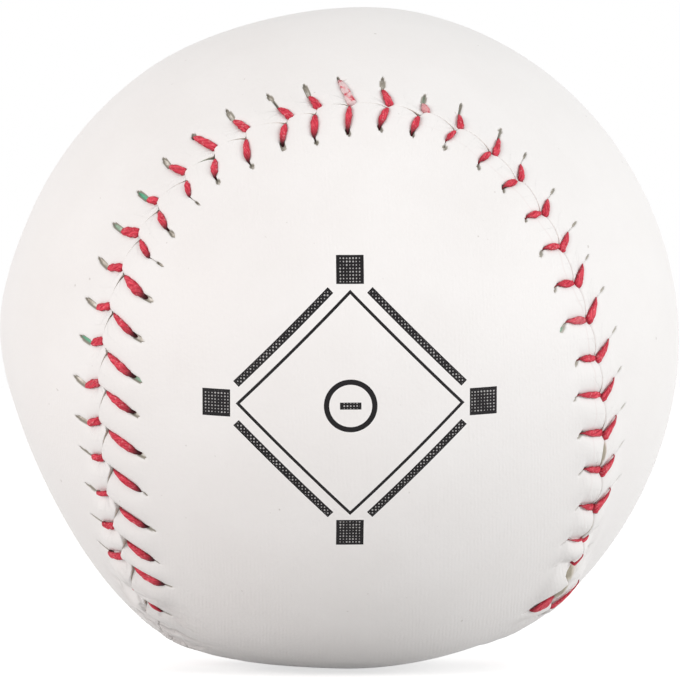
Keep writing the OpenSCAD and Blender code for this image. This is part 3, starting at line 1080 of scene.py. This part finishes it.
def waxed_thread(name):
    """Red spun thread with a dull wax, streaked along its fibres and worn pale on a few stitches."""
    material, tree, shader = new_material(name, Specular_IOR_Level=0.25)
    point = millimetres(tree)
    lay = attribute(tree, "lay", "Vector")
    height, shade = wire(tree, "Group", {"Lay": lay, "Twist": 0.9, "Streaks": 4.0},
                         "Height", "Shade", node_tree=FIBRES)
    colour = blend(shade, FIBRE_LOW, FIBRE_HIGH)
    flank = stretch(abs(parts(lay)[1]), 0.7, 1.0)
    colour = blend(flank * 0.5, colour, SHADED)
    # Paler specks of fluff, partly painted glints on the fibres
    fluff_and_glint = stretch(noise(point, 3.6, 2.0), 0.56, 0.72)
    colour = blend(fluff_and_glint * 0.5, colour, FLUFF_AND_GLINT)
    rub = stretch(noise(point, 1.3, 3.0), 0.36, 0.52)
    colour = blend(rub * attribute(tree, "worn", "Fac"), colour, WORN)
    # Painted shade at the thread's ends, near black where it goes into the leather
    soil = stretch(attribute(tree, "soil", "Fac"), 0.1, 0.95)
    colour = blend(soil, colour, END_SHADE_COLOUR)
    dress(tree, shader, colour, stretch(shade, 0, 1, 0.7, 0.5), height, depth=0.00008)
    return material


def felted(name, dark, light, scale):
    """Matt matted fibres: colour and height from fine noise."""
    material, tree, shader = new_material(name, Roughness=0.9, Specular_IOR_Level=0.2)
    fine = noise(millimetres(tree), scale, 5.0, 0.7)
    colour = blend(stretch(fine, 0.32, 0.68), dark, light)
    dress(tree, shader, colour, stretch(fine, 0.3, 0.7, 0.95, 0.8), fine, depth=0.0002)
    return material


def wound_yarn(name, dark, light, pitch):
    """Yarn wound in crossing bands: two sets of ribs, one over the other in patches."""
    material, tree, shader = new_material(name, Roughness=0.85, Specular_IOR_Level=0.2)
    point = millimetres(tree)
    sway = noise(point, 0.08, 2.0) * 6.0
    ribs = []
    for turn in ((0.6, 0.2, 0.3), (-0.5, 0.9, 1.2)):
        strand = parts(rotated(point, turn))[0] / pitch + sway
        ribs.append(abs((strand * np.pi).math("SINE")))
    over = stretch(noise(point, 0.12, 2.0), 0.47, 0.53)
    height = wire(tree, "Mix", {0: over, 2: ribs[0], 3: ribs[1]}, data_type="FLOAT")
    fuzz = noise(point, 4.0, 4.0, 0.7)
    # Colour follows the ribs, so the troughs between strands are darker: painted shade, mixed with random
    # fuzz tone
    shade = height * 0.7 + fuzz * 0.3
    rough = stretch(fuzz, 0.3, 0.7, 0.95, 0.75)
    dress(tree, shader, blend(shade, dark, light), rough, shade, depth=0.0006)
    return material


# Stage: grey of the floor, its glow to the camera, its half width in metres and the light of the surround
FLOOR_GREY, FLOOR_GLOW, FLOOR_HALF, SURROUND = 0.655, 0.66, 4.0, 0.625

# Lamps: name, place and size in metres, power in watts and colour
LAMPS = (
    ("left_lamp", (-0.95, -0.72, 0.24), (1.0, 0.5), 6.75, (1.0, 0.925, 0.91)),
    ("right_lamp", (1.08, -0.5, 0.24), (1.0, 0.5), 7.15, (1.0, 0.985, 0.99)),
)


def studio_floor(name):
    """Pale matt floor that shows white to the camera where no shadow lies on it."""
    material, tree, shader = new_material(
        name, Roughness=0.9, Specular_IOR_Level=0.0, Base_Color=(FLOOR_GREY, FLOOR_GREY, FLOOR_GREY, 1))
    glow = wire(tree, "Emission", {"Strength": looked_at(tree) * FLOOR_GLOW})
    both = wire(tree, "AddShader", {0: Value(shader.outputs[0]), 1: glow})
    both.feed(tree.nodes["Material Output"].inputs["Surface"])
    return material


def build_ball():
    """Every piece of the ball, and a finish for the layers that stay as they are inside it."""
    thread = waxed_thread("waxed_red_thread")
    cloth = felted("grey_green_cloth", (0.25, 0.27, 0.22, 1), (0.5, 0.52, 0.45, 1), 2.0)
    fit(cover_panel("front_panel", FRONT, leather("stamped_white_leather", True)), "front_cover")
    fit(cover_panel("back_panel", BACK, leather("white_leather", False)), "back_cover")
    fit(lining("front_lining", FRONT, cloth), "front_backing")
    fit(lining("back_lining", BACK, cloth), "back_backing")
    fit(lacing("first_lacing", 0, thread), "first_thread")
    fit(lacing("second_lacing", 1, thread), "second_thread")
    inside = {
        "core": felted("cork_and_rubber", (0.09, 0.05, 0.03, 1), (0.42, 0.27, 0.15, 1), 0.6),
        "coarse_winding": wound_yarn("coarse_yarn", (0.3, 0.24, 0.17, 1), (0.66, 0.58, 0.46, 1), 2.2),
        "fine_winding": wound_yarn("fine_yarn", (0.5, 0.47, 0.4, 1), (0.85, 0.82, 0.76, 1), 0.9),
        "cement_coat": felted("latex_cement", (0.5, 0.43, 0.3, 1), (0.7, 0.63, 0.48, 1), 0.5)}
    for node, material in inside.items():
        frame["nodes"][node].data.materials.clear()
        frame["nodes"][node].data.materials.append(material)


def build_camera():
    """Camera on the ball's own level, with the picture's square frame and a small upward shift."""
    focal_px = OUTLINE_PX * np.sqrt((CAMERA_Y / BALL_R) ** 2 - 1)
    data = bpy.data.cameras.new("camera")
    data.sensor_width = SENSOR
    data.lens = focal_px / PICTURE * SENSOR
    data.shift_y = DROP_PX / PICTURE
    data.clip_start = 0.01
    camera = placed("camera", data)
    camera.location = (0, -CAMERA_Y * MM, 0)
    camera.rotation_euler = (np.pi / 2, 0, 0)
    bpy.context.scene.camera = camera


def soft_lamp(name, place, size, power, colour):
    """Flat lamp that faces the ball."""
    data = bpy.data.lights.new(name, "AREA")
    data.shape = "RECTANGLE"
    data.size, data.size_y = size
    data.energy = power
    data.color = colour
    lamp = placed(name, data)
    x, y, z = place
    lamp.location = place
    lamp.rotation_euler = (np.arctan2(np.hypot(x, y), z), 0, np.arctan2(x, -y))


def build_stage():
    """Pale floor under the ball, two soft lamps and an even surround that looks white."""
    scene = bpy.context.scene
    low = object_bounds()[0].z
    corners = [(x * FLOOR_HALF, y * FLOOR_HALF, low) for x, y in ((-1, -1), (1, -1), (1, 1), (-1, 1))]
    mesh = bpy.data.meshes.new("floor")
    mesh.from_pydata(corners, [], [(0, 1, 2, 3)])
    mesh.materials.append(studio_floor("pale_floor"))
    floor = placed("floor", mesh)

    for lamp in LAMPS:
        soft_lamp(*lamp)
    world = bpy.data.worlds.new("surround")
    scene.world = world
    world.use_nodes = True
    tree = world.node_tree
    sky = tree.nodes["Background"]
    sky.inputs["Color"].default_value = (1, 1, 1, 1)
    stretch(looked_at(tree), 0, 1, SURROUND, 1.0).feed(sky.inputs["Strength"])
    scene.view_settings.view_transform = "Standard"


build_ball()
build_camera()
build_stage()
